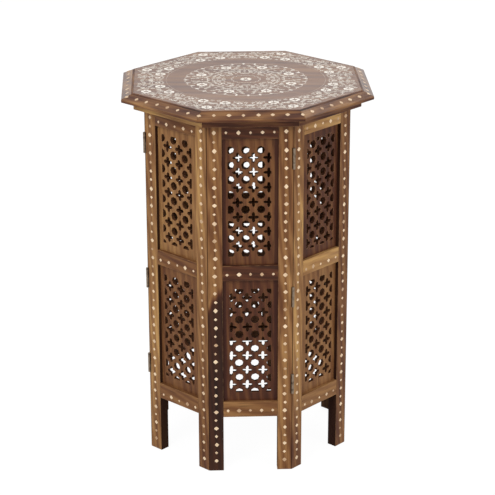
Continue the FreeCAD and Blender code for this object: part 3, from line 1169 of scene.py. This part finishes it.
# Half of a screw head, beside its slot
SCREW_HALF = ((0.22, -1.25), (0.8, -1.0), (1.25, -0.3), (1.25, 0.3), (0.8, 1.0), (0.22, 1.25))
PEG_EASE = 0.7
SMOOTH_ANGLE = math.radians(35)
# What is left open on the axis of a pin and of a peg, and what a square corner is clipped by
PIN_CORE = 0.0001
PEG_CORE = 0.01
NO_CORNER = 0.0001


def seam_place(child, parent, edge):
    """From a seam's own frame, Z on the pin and X along the mitre, to the stool's."""
    a, b = PANELS[child], PANELS[parent]
    if abs(a - b) > 180:
        a -= math.copysign(360, a - b)
    corner = (a + b) / 2
    inradius, turn = BASE_INRADIUS + PIN_STAND_OFF * MM, corner + 180
    if edge == "inside":
        inradius, turn = BASE_INRADIUS - PANEL_THICKNESS - PIN_STAND_OFF * MM, corner
    x, y = polar(inradius / math.cos(HALF_SIDE), corner)
    return Matrix.Translation((x, y, 0)) @ Matrix.Rotation(math.radians(turn), 4, "Z"), corner


def turned(bm, profile, place, faces=20):
    """A turned solid from the radius and height of each step of its closed profile."""
    rings = []
    for i in range(faces):
        c, s = polar(1, i * 360 / faces)
        rings.append(ring(bm, [(r * c, r * s, z) for r, z in profile], place))
    for i in range(faces):
        near, far = rings[i - 1], rings[i]
        for k in range(len(profile)):
            bm.faces.new((near[k - 1], far[k - 1], far[k], near[k]))


def plate(bm, x0, x1, y0, y1, z0, z1, place, corner):
    """A leaf with clipped outer corners, between two faces."""
    outline = (
        (x0, z0), (x1 - corner, z0), (x1, z0 + corner), (x1, z1 - corner), (x1 - corner, z1), (x0, z1))
    loft(bm, [ring(bm, [(x, y, z) for x, z in outline], place) for y in (y0, y1)])


def screw(bm, x, z, face, side, place):
    """A slotted screw head let into a leaf."""
    for hand in (-1, 1):
        rings = []
        for depth in SCREW_DEPTHS:
            y = face - side * depth
            rings.append(ring(bm, [(x + hand * u, y, z + v) for u, v in SCREW_HALF], place))
        loft(bm, rings)


def half_hinge(bm, place, side, middle, fixed):
    """One leaf of a butt hinge with its knuckle and screws; the fixed leaf also has the pin."""
    low, high = middle - HINGE_HALF, middle + HINGE_HALF
    face = side * MITRE_GAP / 2
    back = side * (MITRE_GAP / 2 + LEAF_THICKNESS)
    start = KNUCKLE_RADIUS + BARREL_CLEARANCE
    plate(bm, start, start + LEAF_WIDTH, face, back, low, high, place, LEAF_CORNER)
    z0, z1 = (low, middle - KNUCKLE_GAP) if fixed else (middle, high)
    plate(bm, NECK_START, start, face, back, z0, z1, place, NO_CORNER)
    r, bore, ease = KNUCKLE_RADIUS, PIN_RADIUS + BORE_CLEARANCE, KNUCKLE_EASE
    profile = [(bore, z0), (r - ease, z0), (r, z0 + ease), (r, z1 - ease), (r - ease, z1), (bore, z1)]
    turned(bm, profile, place)
    if fixed:
        r, foot, head = PIN_RADIUS, low + PIN_ENDS[0], high - PIN_ENDS[1]
        profile = [(PIN_CORE, foot), (r, foot), (r, head - 0.2), (r - 0.3, head), (PIN_CORE, head)]
        turned(bm, profile, place, 12)
    for offset in SCREW_OFFSETS:
        screw(bm, start + LEAF_WIDTH * SCREW_SHARE, middle + offset, face, side, place)


def build_hinges():
    for child, parent, edge in SEAMS:
        place, corner = seam_place(child, parent, edge)
        for owner, fixed, kind in ((parent, True, "fixed"), (child, False, "moving")):
            ahead = math.sin(math.radians(PANELS[owner] - corner)) > 0
            side = 1 if ahead == (edge == "inside") else -1
            bm = bmesh.new()
            for middle in HINGE_MIDDLES:
                half_hinge(bm, place, side, middle, fixed)
            face_outward(bm)
            node = child + "_hinge_" + kind + "_leaves"
            name = child + "_hinge_" + kind
            piece(name, bm, HINGE_STEEL, owner + "_panel", [node], SMOOTH_ANGLE)


def build_pegs():
    """Two turned pegs with eased ends under the front of the top."""
    low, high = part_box("locating_pegs")
    radius = (high.y - low.y) / 2
    r, foot, head = radius / MM, low.z / MM, high.z / MM
    profile = [(PEG_CORE, foot), (r - PEG_EASE, foot), (r, foot + PEG_EASE * 2), (r, head), (PEG_CORE, head)]
    bm = timber_skin()
    for x in (low.x + radius, high.x - radius):
        turned(bm, profile, Matrix.Translation((x, (low.y + high.y) / 2, 0)), 24)
    face_outward(bm)
    mark(bm, lambda co: (co, 1.3 if co.x > 0 else 4.2, 0.7, 0.0))
    piece("locating_pegs_wood", bm, RAIL_WOOD, "top", ["locating_pegs"], SMOOTH_ANGLE)


# Stage, light and camera

WHITE = (1, 1, 1, 1)
FLOOR_REACH = 8.0
FLOOR_GLOW = 0.96
WORLD_LEVEL = 0.55


def show(tree, output, lighting, seen):
    """Shows one surface to camera, glossy and transmission rays, and lights with the other."""
    path = tree.nodes.new("ShaderNodeLightPath").outputs
    looks = calc(tree, "MAXIMUM", path["Is Camera Ray"], path["Is Glossy Ray"])
    looks = calc(tree, "MAXIMUM", looks, path["Is Transmission Ray"])
    choice = add(tree, "ShaderNodeMixShader", {0: looks, 1: lighting, 2: seen}).outputs[0]
    add(tree, output, {"Surface": choice})


def build_stage():
    """A pale floor and a soft even light that both look white."""
    mesh = bpy.data.meshes.new("floor")
    corners = [(x * FLOOR_REACH, y * FLOOR_REACH, 0) for x, y in ((-1, -1), (1, -1), (1, 1), (-1, 1))]
    mesh.from_pydata(corners, [], [(0, 1, 2, 3)])
    new_object("floor", mesh)
    material, tree, _ = new_material("pale_floor")
    mesh.materials.append(material)
    tree.nodes.clear()
    plain = add(tree, "ShaderNodeBsdfDiffuse", {"Color": (0.75, 0.75, 0.74, 1)}).outputs[0]
    faint = add(tree, "ShaderNodeBsdfDiffuse", {"Color": (0.08, 0.08, 0.08, 1)}).outputs[0]
    glow = add(tree, "ShaderNodeEmission", {"Color": WHITE, "Strength": FLOOR_GLOW}).outputs[0]
    both = add(tree, "ShaderNodeAddShader", {0: faint, 1: glow}).outputs[0]
    show(tree, "ShaderNodeOutputMaterial", plain, both)
    world = bpy.data.worlds.new("studio")
    bpy.context.scene.world = world
    world.use_nodes = True
    tree = world.node_tree
    tree.nodes.clear()
    levels = (WORLD_LEVEL, 1.0)
    skies = [add(tree, "ShaderNodeBackground", {"Color": WHITE, "Strength": level}) for level in levels]
    show(tree, "ShaderNodeOutputWorld", *(sky.outputs[0] for sky in skies))


LAMP_AIM = Vector((0, 0, 0.25))
# Each lamp: where it stands, its size and its power
LAMPS = {
    "key_lamp": ((-1.6, -2.2, 2.3), 1.6, 52.0),
    "fill_lamp": ((2.2, -1.6, 1.2), 1.8, 26.0),
    "back_lamp": ((0.4, 2.4, 2.2), 1.8, 26.0),
}


def build_lamps():
    for name, (place, size, power) in LAMPS.items():
        lamp = bpy.data.lights.new(name, "AREA")
        lamp.shape = "SQUARE"
        lamp.size = size
        lamp.energy = power
        stand = new_object(name, lamp)
        stand.location = place
        aim = LAMP_AIM - Vector(place)
        stand.rotation_mode = "QUATERNION"
        stand.rotation_quaternion = aim.to_track_quat("-Z", "Y")


CAMERA_PLACE = (-0.0830, -2.0883, 1.0256)
CAMERA_AZIMUTH = -2.32
CAMERA_ELEVATION = 20.50
CAMERA_ROLL = -0.11
CAMERA_LENS = 131.5


def build_camera():
    lens = bpy.data.cameras.new("photo_camera")
    lens.lens = CAMERA_LENS
    lens.sensor_width = 36.0
    lens.clip_start = 0.05
    lens.clip_end = 50.0
    camera = new_object("photo_camera", lens)
    place = Matrix.Translation(CAMERA_PLACE)
    for degrees, axis in ((CAMERA_AZIMUTH, "Z"), (90 - CAMERA_ELEVATION, "X"), (CAMERA_ROLL, "Z")):
        place = place @ Matrix.Rotation(math.radians(degrees), 4, axis)
    camera.matrix_world = place
    bpy.context.scene.camera = camera


build_stiles_and_rails()
build_boards()
build_top()
build_panel_dots()
build_edging_dots()
build_arabesque()
build_hinges()
build_pegs()
build_stage()
build_lamps()
build_camera()
bpy.context.scene.view_settings.view_transform = "Standard"
